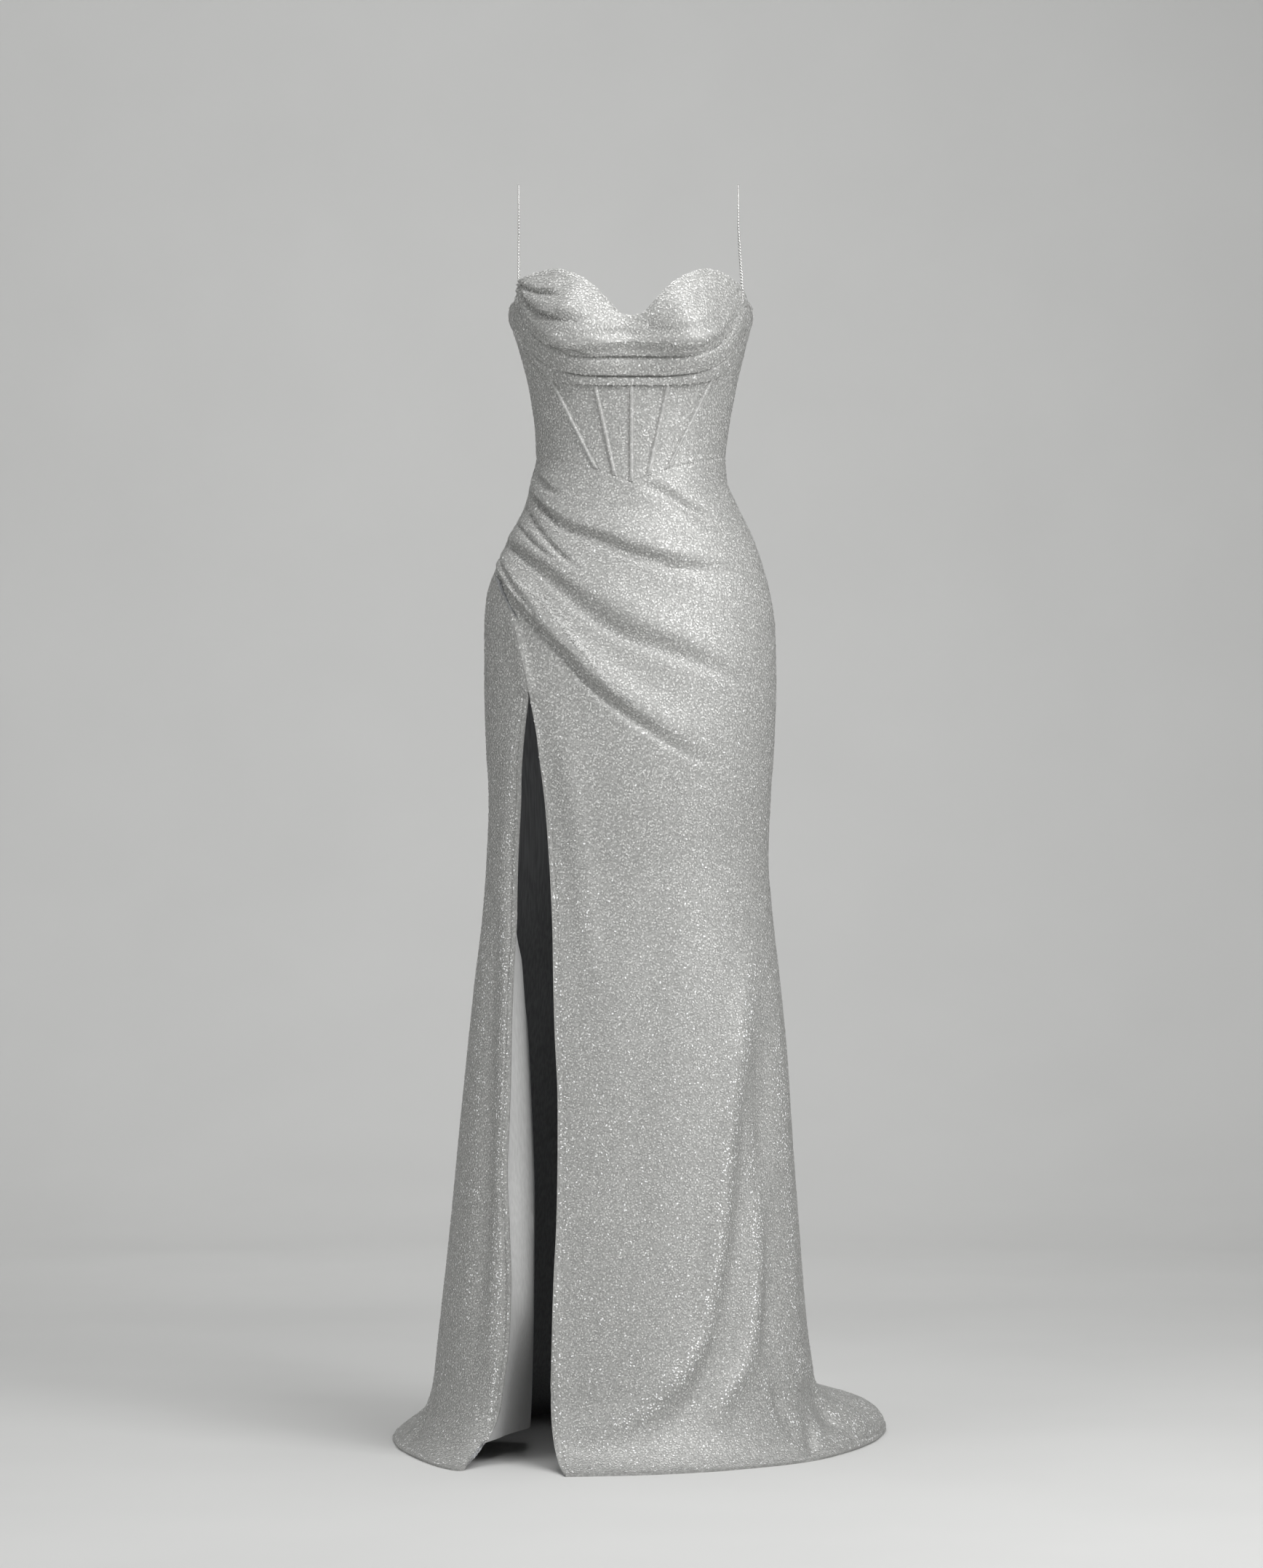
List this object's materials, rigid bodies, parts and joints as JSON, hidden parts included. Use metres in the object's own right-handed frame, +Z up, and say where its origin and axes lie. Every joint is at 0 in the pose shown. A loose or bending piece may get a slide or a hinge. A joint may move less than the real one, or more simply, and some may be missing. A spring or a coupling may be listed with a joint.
{
  "type": "sequin maxi dress",
  "caption": "Floor-length fit-and-flare sequin evening dress with a pleated sweetheart bust, boned midriff, gathered hip, high front slit, cord straps and a back zip.",
  "frame": {"origin": "midway between the tops of the shoulder straps, where the wearer's shoulders hold the dress", "axes": "+Z up, +X to the viewer's right as the front is seen, the front of the dress faces -Y"},
  "size_m": [0.5718, 0.5851, 1.4409],
  "materials": {
    "sequin_cloth": "silver sequin cloth, glittering",
    "satin_lining": "satin, soft sheen",
    "zip_tape": "woven tape, matte",
    "zip_metal": "plated, bright"
  },
  "bodies": {
    "dress": {"bust_drape": "sequin_cloth", "corset_centre_left": "sequin_cloth", "corset_centre_right": "sequin_cloth", "corset_middle_left": "sequin_cloth", "corset_middle_right": "sequin_cloth", "corset_side_left": "sequin_cloth", "corset_side_right": "sequin_cloth", "bone_centre": "sequin_cloth", "bone_inner_left": "sequin_cloth", "bone_inner_right": "sequin_cloth", "bone_outer_left": "sequin_cloth", "bone_outer_right": "sequin_cloth", "bodice_back_left": "sequin_cloth", "bodice_back_right": "sequin_cloth", "skirt_front": "sequin_cloth", "skirt_side_front": "sequin_cloth", "skirt_back_left": "sequin_cloth", "skirt_back_right": "sequin_cloth", "slit_lining": "satin_lining", "strap_left": "sequin_cloth", "strap_right": "sequin_cloth", "zip_tape": "zip_tape", "zip_slider": "zip_metal"},
    "pull": {"zip_pull": "zip_metal"}
  },
  "joints": [
    {"name": "zip_pull_swing", "type": "hinge", "parent": "dress", "child": "pull", "pos_m": [0, 0.0907, -0.212], "axis": [1, 0, 0], "range_deg": [0, 150]}
  ]
}
